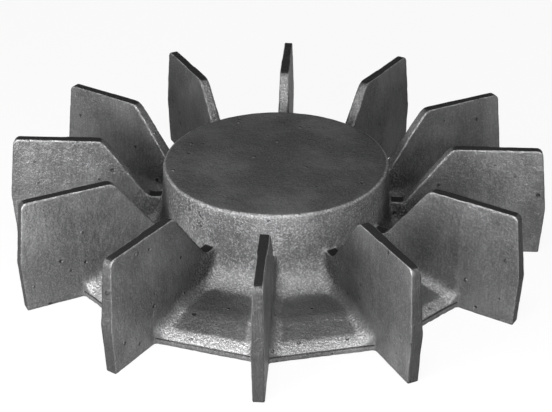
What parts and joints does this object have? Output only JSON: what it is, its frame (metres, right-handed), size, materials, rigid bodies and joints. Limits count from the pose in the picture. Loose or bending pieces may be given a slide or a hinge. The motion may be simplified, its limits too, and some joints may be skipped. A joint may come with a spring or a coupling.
{
  "type": "cast iron radial-blade fan impeller",
  "caption": "One-piece cast iron fan impeller: a drum hub with a closed end, a flared web and straight radial blades with sloped inner ends.",
  "frame": {"origin": "on the fan's axis, level with the lower edges of the blades, at the centre of the base of its bounding box", "axes": "+Z along the fan's axis towards the closed end of the hub, +X along one blade"},
  "size_m": [0.329, 0.329, 0.07],
  "materials": {
    "cast_iron": "as-cast skin, dark grey, edges rubbed bright"
  },
  "bodies": {
    "root": {"impeller": "cast_iron"}
  },
  "joints": []
}
